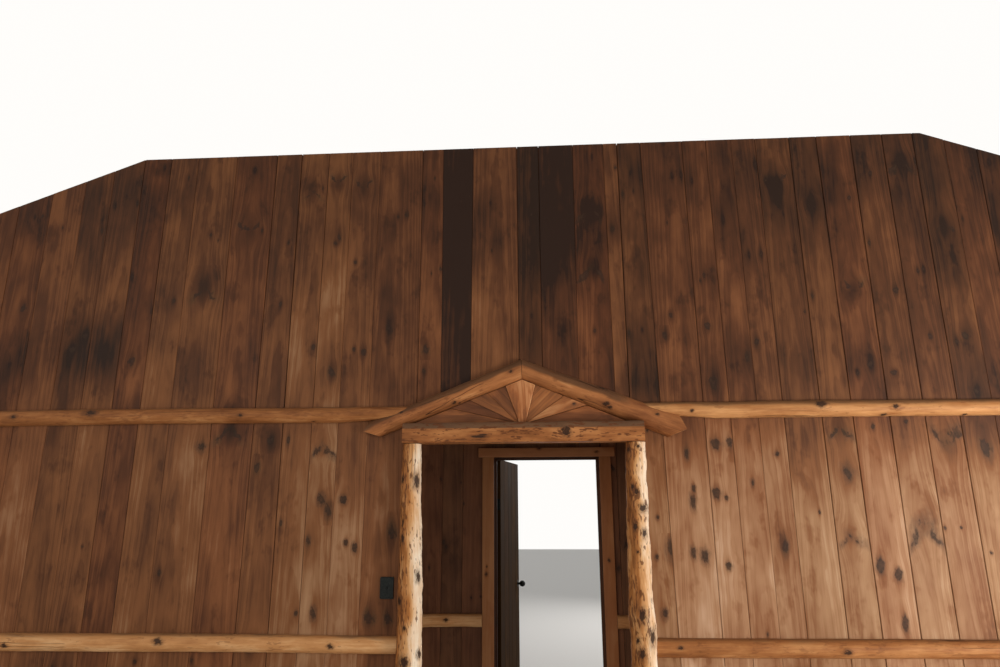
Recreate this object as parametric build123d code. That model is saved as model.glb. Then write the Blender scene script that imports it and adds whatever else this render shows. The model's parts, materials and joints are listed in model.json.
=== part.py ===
from build123d import *
from math import cos, pi, radians, sin, sqrt, tan
import os

os.makedirs("parts", exist_ok=True)

# Log-framed doorway in a vertical-plank partition of a log cabin, with the short
# hall and the plank door behind it. Millimetres. +X is right, +Y goes into the
# wall, away from the room, and +Z is up. Pieces are drawn from the middle of the
# doorway on the partition's front face, and written out from the middle of the
# footprint, on the ground.

# Front partition
wall_half_width = 4000
wall_height = 4200
wall_thickness = 110
hip_start = 2850
roof_slope = 0.375
opening_half_width = 712
opening_height = 2062

# Round work: the saw or the axe leaves a flat back on every log
log_clearance = 0.4
post_foot_radius = 88
post_head_radius = 61
post_foot_x = 706
post_head_x = 724
post_taper_power = 0.9
post_seat = 16
post_sway = 4
rail_radius = 55
rail_taper = 4
rail_proud = 5
rail_sway = 3
upper_rail_over_lintel = 68
lower_rail_height = 802

# Lintel: a slab with sawn faces and one waney upper edge
lintel_cover = 32
lintel_height = 138
lintel_half_length = 782
lintel_depth = 122
lintel_wane_height = 46
lintel_wane_depth = 44

# Pediment: two raking logs, mitred at the apex and notched over the lintel
pediment_pitch = 21.7
apex_over_lintel = 360
raking_apex_radius = 65
raking_tail_radius_left = 61
raking_tail_radius_right = 82
raking_proud = 5
raking_overrun = 150
tail_tip_x = 1055
tail_tip_drop = 0.3
tail_bottom_x = 948
tail_top_x = 1015

# Sunburst: the angles, from the right, of the edges between its boards
ray_angles_right = [16, 35, 75.5]
ray_angles_left = [109.5, 135.5, 154, 167]
ray_foot = 24
ray_foot_step = 7
ray_names = ["corner_right", "right_2", "right_1", "center", "left_1", "left_2", "left_3", "corner_left"]
ray_thick = 24
ray_thin = 18
corner_board_thickness = 14
ray_gap = 1.6

# Switch plate
plate_width = 89
plate_height = 133
plate_thickness = 6
plate_corner = 8
plate_x = -872
plate_z = 1134
toggle_width = 9
toggle_height = 20
toggle_reach = 14

# Inner partition and the hall between the two
hall_depth = 870
hall_half_width = 1300
inner_thickness = 100
ceiling_over_casing = 272
ceiling_thickness = 20
joist_width = 45
joist_height = 120
joist_spacing = 900
plate_over_joists = 10
inner_rail_radius = 50
inner_rail_height = 788

# Inner door frame
door_center_x = 157.5
door_clear_width = 823
door_clear_height = 2000
jamb_thickness = 20
stop_depth = 16
stop_width = 30
casing_reveal = 6
casing_width = 90
casing_thickness = 20
head_casing_height = 72
head_casing_overhang = 32
head_casing_thickness = 24

# Door leaf, drawn closed and then swung open
leaf_gap = 5
leaf_floor_gap = 8
leaf_thickness = 32
leaf_open_angle = 82
ledge_height = 120
ledge_thickness = 22
ledge_margin = 45
ledge_from_floor = 252
ledge_from_top = 355
hinge_height = 90
hinge_pin_radius = 3
hinge_knuckle_radius = 6.5
hinge_plate_thickness = 2
hinge_plate_depth = 28
hinge_running_gap = 0.4
knob_height = 960
knob_backset = 62
knob_radius = 26
knob_reach = 66
knob_neck_radius = 10
rose_radius = 28
rose_thickness = 6
spindle_radius = 8

# Worked-out places
lintel_bottom = opening_height - lintel_cover
lintel_top = lintel_bottom + lintel_height
apex_axis_height = lintel_top + apex_over_lintel
upper_rail_height = lintel_top + upper_rail_over_lintel
inner_front = wall_thickness + hall_depth
inner_back = inner_front + inner_thickness
door_left = door_center_x - door_clear_width / 2
door_right = door_center_x + door_clear_width / 2
leaf_left = door_left + leaf_gap
leaf_right = door_right - leaf_gap
leaf_top = door_clear_height - leaf_gap
leaf_back = inner_back
casing_top = door_clear_height + casing_reveal
head_top = casing_top + head_casing_height
ceiling_height = head_top + ceiling_over_casing
ceiling_top = ceiling_height + ceiling_thickness
inner_height = ceiling_top + joist_height + plate_over_joists
leaf_front = leaf_back - leaf_thickness
pin_x = door_left + leaf_gap / 2
pin_y = leaf_back + hinge_knuckle_radius + hinge_running_gap
pitch_tan = tan(radians(pediment_pitch))
pitch_cos = cos(radians(pediment_pitch))
far = 3 * wall_half_width

# The footprint reaches from the front of the posts to the far edge of the open leaf
swing = radians(leaf_open_angle)
footprint_front = -(2 * post_foot_radius - post_seat)
footprint_back = pin_y + (leaf_right - pin_x) * sin(swing) + (leaf_back - pin_y) * cos(swing)
footprint_middle = (footprint_front + footprint_back) / 2


def save(name, shape):
    """Write one piece to its own file."""
    export_step(Pos(0, -footprint_middle, 0) * shape, f"parts/{name}.step")


def upright_slab(points, y_front, y_back):
    """A flat outline in X and Z, thick from y_front back to y_back."""
    face = Plane.XZ.offset(-y_front) * Polygon(*points, align=None)
    return extrude(face, amount=y_back - y_front, dir=(0, 1, 0))


def block(x_low, x_high, y_low, y_high, z_low, z_high):
    """A plain board between two corners."""
    return Pos(x_low, y_low, z_low) * Box(
        x_high - x_low, y_high - y_low, z_high - z_low, align=(Align.MIN, Align.MIN, Align.MIN)
    )


behind_front_face = block(-far, far, 0, far, -far, far)
behind_inner_face = block(-far, far, inner_front, far, -far, far)


def largest(shape):
    """The biggest solid that a cut leaves."""
    return shape.solids().sort_by(SortBy.VOLUME)[-1]


def round_log(stations, direction):
    """A peeled log lofted through round sections: (centre, radius) at each station."""
    sections = [Plane(origin=centre, z_dir=direction) * Circle(radius) for centre, radius in stations]
    return loft(sections)


def roof_height(x):
    """Height of the underside of the roof over the partition."""
    return wall_height - max(0, abs(x) - hip_start) * roof_slope


# Front partition, split beside and over the doorway

def make_wall_side(side):
    outline = [
        (side * opening_half_width, 0),
        (side * wall_half_width, 0),
        (side * wall_half_width, roof_height(wall_half_width)),
        (side * hip_start, wall_height),
        (side * opening_half_width, wall_height),
    ]
    return upright_slab(outline, 0, wall_thickness)


save("wall_left", make_wall_side(-1))
save("wall_right", make_wall_side(1))
save(
    "wall_over_door",
    block(-opening_half_width, opening_half_width, 0, wall_thickness, opening_height, wall_height),
)


# Posts, standing on the ground in front of the wall's cut edges

def make_post(side, growth=0.0):
    stations = []
    steps = 5
    for step in range(steps + 1):
        share = step / steps
        radius = post_foot_radius + (post_head_radius - post_foot_radius) * share ** post_taper_power
        sway = post_sway * sin(2 * pi * share + side)
        x = side * (post_foot_x + (post_head_x - post_foot_x) * share) + sway
        y = -(radius - post_seat)
        stations.append(((x, y, lintel_bottom * share), radius + growth))
    return round_log(stations, (0, 0, 1)) - behind_front_face


save("door_post_left", make_post(-1))
save("door_post_right", make_post(1))


# Lintel, on the heads of the posts

def make_lintel(growth=0.0):
    back = Vector(0, growth, lintel_bottom - growth)
    front = Vector(0, -lintel_depth - growth, lintel_bottom - growth)
    wane_foot = Vector(0, -lintel_depth - growth, lintel_top - lintel_wane_height)
    wane_head = Vector(0, -lintel_depth + lintel_wane_depth, lintel_top + growth)
    back_top = Vector(0, growth, lintel_top + growth)
    wane = TangentArc(wane_foot, wane_head, tangent=(0, 0, 1))
    outline = [Line(back, front), Line(front, wane_foot), wane, Line(wane_head, back_top), Line(back_top, back)]
    half = lintel_half_length + growth
    section = make_face(outline).moved(Pos(-half, 0, 0))
    return extrude(section, amount=2 * half, dir=(1, 0, 0))


save("door_lintel", make_lintel() - behind_front_face)


# Raking logs

def raking_height(x):
    """Height of a raking log's axis at a distance from the middle."""
    return apex_axis_height - abs(x) * pitch_tan


def raking_radius(side, x):
    """Radius of one raking log at a distance from the middle."""
    tail_radius = raking_tail_radius_left if side < 0 else raking_tail_radius_right
    return raking_apex_radius + (tail_radius - raking_apex_radius) * x / tail_tip_x


def make_raking_log(side, growth=0.0):
    direction = Vector(side * pitch_cos, 0, -sin(radians(pediment_pitch)))
    stations = []
    for x in (-raking_overrun, tail_tip_x / 2, tail_tip_x + raking_overrun):
        centre = (side * x, -raking_proud, apex_axis_height - x * pitch_tan)
        stations.append((centre, raking_radius(side, x) + growth))
    return round_log(stations, direction) - behind_front_face


def tail_waste(side):
    """What the two bevel cuts take off the tail."""
    under = raking_height(tail_bottom_x) - raking_radius(side, tail_bottom_x) / pitch_cos
    over = raking_height(tail_top_x) + raking_radius(side, tail_top_x) / pitch_cos
    tip = Vector(tail_tip_x, under + (over - under) * tail_tip_drop)
    low = Vector(tail_bottom_x, under)
    high = Vector(tail_top_x, over)
    low_out = low + (low - tip)
    high_out = high + (high - tip)
    outer = tail_tip_x + tail_tip_x / 2
    points = [low_out, tip, high_out, Vector(outer, over + outer), Vector(outer, under - outer)]
    outline = [(side * point.X, point.Y) for point in points]
    return upright_slab(outline, -far / 4, far / 4)


def pediment_log(side):
    log = make_raking_log(side)
    other_half = block(0, far, -far, far, -far, far) if side < 0 else block(-far, 0, -far, far, -far, far)
    log = log - other_half - tail_waste(side) - make_lintel(log_clearance)
    return largest(log)


save("pediment_log_left", pediment_log(-1))
save("pediment_log_right", pediment_log(1))


# Sunburst boards, nailed to the wall between the lintel and the raking logs

def pediment_field():
    """The triangle that the sunburst fills."""
    under_apex = apex_axis_height - (raking_apex_radius + ray_gap) / pitch_cos
    floor = lintel_top + log_clearance
    corners = []
    for side in (-1, 1):
        swell = (raking_radius(side, tail_tip_x) - raking_apex_radius) / tail_tip_x
        corners.append((side * (under_apex - floor) / (pitch_tan + swell / pitch_cos), floor))
    return Polygon(*corners, (0, under_apex), align=None)


def ray_outline(low_edge, high_edge):
    """The wedge between two edges that leave the lintel."""
    reach = 2 * tail_tip_x
    points = []
    for (base_x, angle), turn in ((low_edge, -1), (high_edge, 1)):
        slant = sin(radians(angle))
        shift = 0 if slant < 0.01 else turn * ray_gap / 2 / slant
        base = Vector(base_x + shift, lintel_top)
        tip = base + Vector(reach * cos(radians(angle)), reach * slant)
        points += [tip, base] if turn > 0 else [base, tip]
    return Polygon(*[(point.X, point.Y) for point in points], align=None)


def make_ray(name, low_edge, high_edge):
    thickness = ray_thick if name in ("center", "right_2", "left_2") else ray_thin
    if name.startswith("corner"):
        thickness = corner_board_thickness
    outline = pediment_field() & ray_outline(low_edge, high_edge)
    return extrude(Plane.XZ * outline, amount=thickness, dir=(0, -1, 0))


def ray_feet(count, side):
    """Where the edges on one side leave the lintel, from the middle outwards."""
    return [side * (ray_foot + ray_foot_step * number) for number in range(count)]


right_edges = list(zip(reversed(ray_feet(len(ray_angles_right), 1)), ray_angles_right))
left_edges = list(zip(ray_feet(len(ray_angles_left), -1), ray_angles_left))
level_right = (right_edges[0][0], 0)
level_left = (left_edges[-1][0], 180)
all_edges = [level_right] + right_edges + left_edges + [level_left]
for ray_name, low, high in zip(ray_names, all_edges, all_edges[1:]):
    save(f"sunburst_{ray_name}", make_ray(ray_name, low, high))


# Half-log rails along the wall

def rail_log(x_low, x_high, y, height, radius):
    stations = []
    steps = 5
    for step in range(steps + 1):
        share = step / steps
        bend = rail_sway * sin(2 * pi * share + height)
        centre = (x_low + (x_high - x_low) * share, y - rail_proud, height + bend)
        stations.append((centre, radius + rail_taper * (0.5 - share)))
    return round_log(stations, (1, 0, 0))


def wall_rail(side, height, stop):
    """A rail from the wall's end to the log that stops it."""
    inner_end = side * (post_foot_x - post_foot_radius)
    x_low, x_high = sorted((inner_end, side * wall_half_width))
    return largest(rail_log(x_low, x_high, 0, height, rail_radius) - behind_front_face - stop)


for side, word in ((-1, "left"), (1, "right")):
    save(f"upper_rail_{word}", wall_rail(side, upper_rail_height, make_raking_log(side, log_clearance)))
    save(f"lower_rail_{word}", wall_rail(side, lower_rail_height, make_post(side, log_clearance)))


# Switch plate with its toggle

def make_switch_plate():
    plate = RectangleRounded(plate_width, plate_height, plate_corner)
    body = extrude(Plane.XZ * plate, amount=plate_thickness, taper=20)
    toggle = extrude(Plane.XZ * Rectangle(toggle_width, toggle_height), amount=toggle_reach, taper=8)
    return Pos(plate_x, 0, plate_z) * (body + toggle)


save("switch_plate", make_switch_plate())


# Inner partition

rough_left = door_left - jamb_thickness
rough_right = door_right + jamb_thickness
rough_top = door_clear_height + jamb_thickness
save("inner_wall_left", block(-hall_half_width, rough_left, inner_front, inner_back, 0, inner_height))
save("inner_wall_right", block(rough_right, hall_half_width, inner_front, inner_back, 0, inner_height))
save("inner_wall_over_door", block(rough_left, rough_right, inner_front, inner_back, rough_top, inner_height))


# Hall ceiling boards, under joists that span from one partition to the other

save(
    "hall_ceiling",
    block(-hall_half_width, hall_half_width, wall_thickness, inner_front, ceiling_height, ceiling_top),
)
for place, word in ((-1, "left"), (0, "middle"), (1, "right")):
    x = place * joist_spacing
    low_x = x - joist_width / 2
    high_x = x + joist_width / 2
    joist = block(low_x, high_x, wall_thickness, inner_front, ceiling_top, ceiling_top + joist_height)
    save(f"hall_joist_{word}", joist)


# Inner door frame: rebated jambs in the wall and casings on its face

stop_back = leaf_front - leaf_gap
stop_front = stop_back - stop_width


def make_jamb(side):
    inside = door_left if side < 0 else door_right
    outside = inside + side * jamb_thickness
    nose = inside - side * stop_depth
    board = block(*sorted((inside, outside)), inner_front, inner_back, 0, rough_top)
    stop = block(*sorted((inside, nose)), stop_front, stop_back, 0, door_clear_height)
    return board + stop


def make_head_jamb():
    board = block(door_left, door_right, inner_front, inner_back, door_clear_height, rough_top)
    nose = door_clear_height - stop_depth
    low_x = door_left + stop_depth
    high_x = door_right - stop_depth
    return board + block(low_x, high_x, stop_front, stop_back, nose, door_clear_height)


save("inner_jamb_left", make_jamb(-1))
save("inner_jamb_right", make_jamb(1))
save("inner_jamb_head", make_head_jamb())

casing_front = inner_front - casing_thickness
casing_left_in = door_left - casing_reveal
casing_left_out = casing_left_in - casing_width
casing_right_in = door_right + casing_reveal
casing_right_out = casing_right_in + casing_width
head_front = inner_front - head_casing_thickness
head_left = casing_left_out - head_casing_overhang
head_right = casing_right_out + head_casing_overhang
save("inner_casing_left", block(casing_left_out, casing_left_in, casing_front, inner_front, 0, casing_top))
save("inner_casing_right", block(casing_right_in, casing_right_out, casing_front, inner_front, 0, casing_top))
save("inner_casing_head", block(head_left, head_right, head_front, inner_front, casing_top, head_top))


# Rails on the inner partition, from its ends to the casings

def inner_rail(x_low, x_high):
    log = rail_log(x_low, x_high, inner_front, inner_rail_height, inner_rail_radius)
    return largest(log - behind_inner_face)


save("inner_rail_left", inner_rail(-hall_half_width, casing_left_out))
save("inner_rail_right", inner_rail(casing_right_out, hall_half_width))


# Plank door, hung on the left jamb and opening away from the hall

pin_axis = Axis((pin_x, pin_y, 0), (0, 0, 1))
knob_x = leaf_right - knob_backset
hinge_heights = {"lower": leaf_floor_gap + ledge_from_floor, "upper": leaf_top - ledge_from_top}


def swung(shape):
    """Turn a piece of the closed door to where the door stands."""
    return shape.rotate(pin_axis, leaf_open_angle)


def pin_cylinder(radius, z_low, z_high):
    """A round piece on the hinge line."""
    column = Cylinder(radius, z_high - z_low, align=(Align.CENTER, Align.CENTER, Align.MIN))
    return Pos(pin_x, pin_y, z_low) * column


def hinge_third(z_mid, number):
    """Lowest and highest point of one of a hinge's three knuckles."""
    foot = z_mid - hinge_height / 2 + number * hinge_height / 3
    return foot, foot + hinge_height / 3


def jamb_hinge(z_mid):
    """Plate, outer knuckles and pin, on the jamb."""
    low, high = z_mid - hinge_height / 2, z_mid + hinge_height / 2
    plate_right = door_left + hinge_plate_thickness
    plate = block(door_left, plate_right, leaf_back - hinge_plate_depth, pin_y, low, high)
    mid_low, mid_high = hinge_third(z_mid, 1)
    room = pin_cylinder(
        hinge_knuckle_radius + hinge_running_gap, mid_low - hinge_running_gap, mid_high + hinge_running_gap
    )
    knuckles = pin_cylinder(hinge_knuckle_radius, *hinge_third(z_mid, 0))
    knuckles += pin_cylinder(hinge_knuckle_radius, *hinge_third(z_mid, 2))
    return (plate - room) + knuckles + pin_cylinder(hinge_pin_radius, low, high)


def leaf_hinge(z_mid):
    """Plate and middle knuckle, on the edge of the leaf."""
    low, high = z_mid - hinge_height / 2, z_mid + hinge_height / 2
    plate = block(leaf_left - hinge_plate_thickness, leaf_left, leaf_back - hinge_plate_depth, pin_y, low, high)
    for number in (0, 2):
        third_low, third_high = hinge_third(z_mid, number)
        plate -= pin_cylinder(
            hinge_knuckle_radius + hinge_running_gap,
            third_low - hinge_running_gap,
            third_high + hinge_running_gap,
        )
    mid_low, mid_high = hinge_third(z_mid, 1)
    knuckle = pin_cylinder(hinge_knuckle_radius, mid_low + hinge_running_gap, mid_high - hinge_running_gap)
    bore = pin_cylinder(hinge_pin_radius + hinge_running_gap, low, high)
    return plate + knuckle - bore


def make_ledge(z_mid):
    """A batten across the back of the planks."""
    low_x = leaf_left + ledge_margin
    high_x = leaf_right - ledge_margin
    back = leaf_back + ledge_thickness
    return block(low_x, high_x, leaf_back, back, z_mid - ledge_height / 2, z_mid + ledge_height / 2)


def make_knob():
    """Two knobs and their roses on one spindle, as one turned piece."""
    half = leaf_thickness / 2
    face = half + rose_thickness
    ball = half + knob_reach - knob_radius
    neck_end = ball - sqrt(knob_radius ** 2 - knob_neck_radius ** 2)
    outline = [
        Line((0, 0), (spindle_radius, 0)),
        Line((spindle_radius, 0), (spindle_radius, half)),
        Line((spindle_radius, half), (rose_radius, half)),
        Line((rose_radius, half), (knob_neck_radius, face)),
        Line((knob_neck_radius, face), (knob_neck_radius, neck_end)),
        ThreePointArc((knob_neck_radius, neck_end), (knob_radius, ball), (0, half + knob_reach)),
        Line((0, half + knob_reach), (0, 0)),
    ]
    one_side = revolve(make_face(outline), Axis.Y)
    pair = one_side + one_side.mirror(Plane.XZ)
    return Pos(knob_x, (leaf_front + leaf_back) / 2, knob_height) * pair


def make_leaf():
    planks = block(leaf_left, leaf_right, leaf_front, leaf_back, leaf_floor_gap, leaf_top)
    hole = Plane.XZ.offset(-leaf_back) * Circle(spindle_radius + log_clearance)
    return planks - Pos(knob_x, 0, knob_height) * extrude(hole, amount=leaf_thickness)


save("door_leaf", swung(make_leaf()))
save("door_knob", swung(make_knob()))
for word, z_mid in hinge_heights.items():
    save(f"door_ledge_{word}", swung(make_ledge(z_mid)))
    save(f"hinge_leaf_{word}", swung(leaf_hinge(z_mid)))
    save(f"hinge_jamb_{word}", jamb_hinge(z_mid))
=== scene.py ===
import json
import math
import random

import bmesh
import bpy
import numpy as np
from mathutils import Matrix, Vector, noise


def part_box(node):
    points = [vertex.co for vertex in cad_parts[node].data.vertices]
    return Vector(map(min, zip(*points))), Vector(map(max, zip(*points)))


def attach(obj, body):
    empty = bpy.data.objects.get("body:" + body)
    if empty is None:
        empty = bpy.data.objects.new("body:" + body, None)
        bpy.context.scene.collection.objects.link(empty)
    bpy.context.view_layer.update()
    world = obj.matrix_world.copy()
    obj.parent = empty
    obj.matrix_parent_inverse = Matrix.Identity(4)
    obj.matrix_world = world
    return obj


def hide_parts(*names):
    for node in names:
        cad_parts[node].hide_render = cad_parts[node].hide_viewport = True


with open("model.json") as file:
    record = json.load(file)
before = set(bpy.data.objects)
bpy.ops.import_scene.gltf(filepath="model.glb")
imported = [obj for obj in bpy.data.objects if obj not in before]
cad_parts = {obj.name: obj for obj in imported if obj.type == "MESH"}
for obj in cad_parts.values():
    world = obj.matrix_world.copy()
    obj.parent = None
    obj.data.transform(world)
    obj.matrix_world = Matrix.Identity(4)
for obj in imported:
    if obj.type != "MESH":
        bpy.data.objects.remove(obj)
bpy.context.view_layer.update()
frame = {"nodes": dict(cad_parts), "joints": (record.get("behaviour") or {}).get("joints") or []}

# A log-framed doorway in a plank partition, with the hall and the plank door behind it.
# Metres. +X is right, +Y goes into the wall and +Z is up. The front of the partition,
# its ends and every log's place and girth are read from the frame.

TINY = 0.0005
SHARP_ANGLE = 0.6
RIGHT = np.array([1.0, 0.0, 0.0])
UP = np.array([0.0, 0.0, 1.0])


def node_points(name):
    return np.array([vertex.co for vertex in frame["nodes"][name].data.vertices])


def span(name):
    """Lowest and highest corner of a node."""
    return [np.array(corner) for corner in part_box(name)]


(_, WALL_FRONT, _), (WALL_END, WALL_BACK, WALL_TOP) = span("wall_right")
WALL_POINTS = node_points("wall_right")
LEVEL_END = WALL_POINTS[WALL_POINTS[:, 2] > WALL_TOP - TINY][:, 0].max()
LOW_TOP = WALL_POINTS[WALL_POINTS[:, 0] > WALL_END - TINY][:, 2].max()


# Colours, as sRGB values from 0 to 255

def colour(*shade):
    """An sRGB colour in the linear values that the shaders take."""
    parts = [value / 255 for value in shade]
    linear = [part / 12.92 if part <= 0.04045 else ((part + 0.055) / 1.055) ** 2.4 for part in parts]
    return (*linear, 1.0)


KNOT_BLACK = colour(43, 29, 21)
KNOT_BROWN = colour(78, 50, 34)
PLANK_KNOT_DARK = colour(45, 33, 26)
PLANK_KNOT_BROWN = colour(82, 59, 44)
CHECK_DARK = colour(46, 27, 18)
BARK_RED = colour(96, 55, 31)

# Each wood's colour at rising tones: tone, red, green and blue
STAINS = {
    "wall_planks": (
        (0, 42, 27, 19), (0.25, 84, 51, 32), (0.5, 124, 79, 49), (0.75, 160, 120, 88), (1, 198, 165, 136)
    ),
    "hall_planks": ((0, 36, 24, 18), (0.4, 84, 54, 37), (0.7, 118, 79, 54), (1, 154, 110, 78)),
    "door_planks": ((0, 30, 19, 7), (0.45, 58, 37, 14), (1, 106, 75, 38)),
    "trim_boards": ((0, 58, 33, 20), (0.4, 122, 72, 43), (0.7, 160, 102, 63), (1, 192, 140, 96)),
    "sunburst_boards": ((0, 62, 37, 24), (0.35, 112, 68, 41), (0.65, 158, 98, 57), (1, 206, 152, 104)),
    "post_log": (
        (0, 112, 66, 32), (0.25, 168, 108, 58), (0.5, 204, 152, 100), (0.75, 228, 196, 162),
        (1, 242, 226, 204),
    ),
    "lintel_log": ((0, 98, 56, 29), (0.35, 148, 92, 51), (0.7, 186, 126, 76), (1, 222, 176, 124)),
    "raking_log": ((0, 74, 43, 26), (0.35, 120, 71, 41), (0.7, 168, 108, 64), (1, 206, 150, 98)),
    "rail_log": ((0, 100, 56, 29), (0.35, 152, 97, 55), (0.7, 194, 139, 88), (1, 226, 180, 130)),
}


# Shader building

def plug(tree, sockets, values):
    """Sets inputs to numbers or colours, or links values to them."""
    for key, value in values.items():
        if isinstance(value, Value):
            tree.links.new(value.socket, sockets[key])
        else:
            sockets[key].default_value = value


class Value:
    """An output of a new shader node. Its methods add the nodes that work with it."""

    def __init__(self, tree, kind, inputs=(), output=0, **settings):
        node = tree.nodes.new(f"ShaderNode{kind}")
        for name, setting in settings.items():
            setattr(node, name, setting)
        plug(tree, node.inputs, dict(inputs))
        self.tree = tree
        self.socket = node.outputs[output]

    def calc(self, operation, *others):
        return Value(self.tree, "Math", enumerate((self, *others)), operation=operation)

    def __add__(self, other):
        return self.calc("ADD", other)

    def __sub__(self, other):
        return self.calc("SUBTRACT", other)

    def __mul__(self, other):
        return self.calc("MULTIPLY", other)

    def __truediv__(self, other):
        return self.calc("DIVIDE", other)

    def __abs__(self):
        return self.calc("ABSOLUTE")

    def parts(self):
        """The three numbers of a vector."""
        return [Value(self.tree, "SeparateXYZ", {0: self}, part) for part in range(3)]

    def hypot(self, other):
        return (self * self + other * other).calc("SQRT")

    def fade(self, low, high, at_low=1.0, at_high=0.0):
        """A smooth step: at_low below low, at_high above high."""
        ends = {"Value": self, "From Min": low, "From Max": high, "To Min": at_low, "To Max": at_high}
        return Value(self.tree, "MapRange", ends, "Result", interpolation_type="SMOOTHSTEP")

    def ramp(self, stops):
        """The colour at this value, between stops of a place and a colour."""
        shade = Value(self.tree, "ValToRGB", {0: self})
        elements = shade.socket.node.color_ramp.elements
        while len(elements) < len(stops):
            elements.new(0.5)
        for element, (place, colour_there) in zip(elements, stops):
            element.position = place
            element.color = colour_there
        return shade

    def stain(self, wood):
        """A wood's colour at this tone."""
        return self.ramp([(tone, colour(*shade)) for tone, *shade in STAINS[wood]])

    def mix(self, factor, other, blend="MIX"):
        """This colour with another laid over it."""
        inputs = {0: factor, 6: self, 7: other}
        return Value(self.tree, "Mix", inputs, 2, data_type="RGBA", blend_type=blend)


def attribute(tree, name, output="Fac"):
    return Value(tree, "Attribute", output=output, attribute_name=name)


def noise_at(x, y, z, detail=2.0, roughness=0.5):
    """Noise centred on zero, with features about one unit across."""
    place = Value(x.tree, "CombineXYZ", enumerate((x, y, z)))
    inputs = {"Vector": place, "Scale": 1.0, "Detail": detail, "Roughness": roughness}
    return Value(x.tree, "TexNoise", inputs, "Fac") - 0.5


def grain_noise(grain, across, along, shift, *texture):
    """Noise with so many features a metre across and along the grain, set apart by its shift."""
    u, v, seed = grain
    return noise_at(u * across, v * along, seed + shift, *texture)


def knot_field(grain, word, winged):
    """How far off one of a face's two knots is, in knot sizes, its dark smear along the grain, and
    how far it pushes the grain aside. One with a slant has wings that fall or rise from its middle."""
    u, v, seed = grain
    knot_u, knot_v, size = attribute(u.tree, f"knot_{word}", "Vector").parts()
    off_side = u - knot_u
    side = off_side / size
    up = (v - knot_v) / (size * attribute(u.tree, f"stretch_{word}"))
    bent_side = side + noise_at(up * 0.5, side * 0.7, seed) * 2.6
    bent_up = up + noise_at(side * 0.8, up * 0.6, seed, 3.0, 0.6) * 2.2
    ragged = noise_at(side * 2.4, up * 1.6, seed, 3.0, 0.7)
    reach = bent_side.hypot(bent_up)
    if winged:
        slant = attribute(u.tree, f"slant_{word}")
        bend = abs(slant)
        spread = abs(bent_side)
        wing = (spread * 0.9 - 1.0).hypot((bent_up + spread * slant) * 1.25)
        reach = (reach + bend * 1.1).calc("MINIMUM", wing - bend * 2.0 + 2.2)
    reach = reach + ragged * (1.1 if winged else 2.0)
    smear = (side * side * -0.7 - up * up * 0.16).calc("EXPONENT")
    halo = (side * side * -0.2 - up * up * 0.12).calc("EXPONENT")
    return reach, smear, off_side * halo * 0.75


def knots_of(tree, winged):
    """How far off the nearer knot is, the smears of both, and the grain as they part it."""
    grain = attribute(tree, "grain", "Vector").parts()
    reach_a, smear_a, push_a = knot_field(grain, "a", winged)
    reach_b, smear_b, push_b = knot_field(grain, "b", winged)
    parted = grain[0] - push_a - push_b
    return reach_a.calc("MINIMUM", reach_b), smear_a + smear_b, (parted, *grain[1:])


def with_knots(base, reach, heart, rim, crisp=1.0, frayed=None):
    """A colour with its knots: a stained collar, a dark rim and a paler heart. frayed is a noise that
    lets the wood show through."""
    base = base.mix(reach.fade(0.8, 2.3, 0.55, 0.0), heart, "DARKEN")
    mask = reach.fade(0.9 - 0.3 * crisp, 1.3 - 0.1 * crisp, 0.5 + 0.4 * crisp, 0.0)
    if frayed:
        mask = mask * (frayed * 1.8 + 1.0)
    base = base.mix(mask, rim, "DARKEN")
    return base.mix(reach.fade(0.1, 0.6, 0.4 * crisp, 0.0), heart)


MATERIALS = {}


def new_tree(surface):
    """The shader nodes of a surface's new material."""
    material = bpy.data.materials.new(f"{surface}_finish")
    material.use_nodes = True
    MATERIALS[surface] = material
    return material.node_tree


def finish(tree, base, roughness, specular=0.35, metallic=0.0, height=0.0, relief=0.0):
    """Joins the looks to the surface. relief is the depth of its bump in metres."""
    looks = {"Base Color": base, "Roughness": roughness, "Specular IOR Level": specular, "Metallic": metallic}
    if relief:
        bump = {"Height": height, "Distance": relief, "Strength": 1.0}
        looks["Normal"] = Value(tree, "Bump", bump, "Normal")
    plug(tree, tree.nodes["Principled BSDF"].inputs, looks)


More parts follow.
